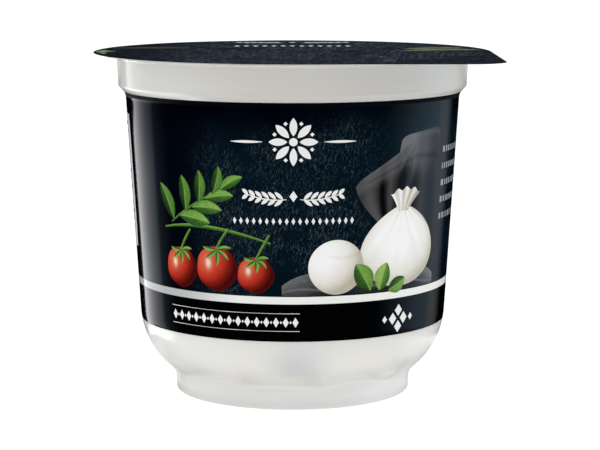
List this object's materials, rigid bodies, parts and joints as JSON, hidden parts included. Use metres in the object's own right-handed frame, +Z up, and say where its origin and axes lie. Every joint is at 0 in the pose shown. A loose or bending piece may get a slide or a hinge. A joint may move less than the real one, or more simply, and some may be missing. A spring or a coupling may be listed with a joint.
{
  "type": "sealed plastic tub of burrata",
  "caption": "Round tapered plastic tub, shut, with a dark printed wrap-around label and a thin peel-off lid whose corner is a pull tab.",
  "frame": {"origin": "on the axis of the tub, in the plane that its foot stands on", "axes": "+Z up along the axis; the front of the label faces -Y; the lid's pull tab is at the front right, between +X and -Y"},
  "size_m": [0.095, 0.095, 0.0815],
  "materials": {
    "cup": "milky translucent white, satin gloss",
    "label": "glossy dark slate print",
    "lid": "satin dark slate print on thin film"
  },
  "bodies": {
    "root": {"cup": "cup", "label": "label", "lid": "lid"}
  },
  "joints": []
}
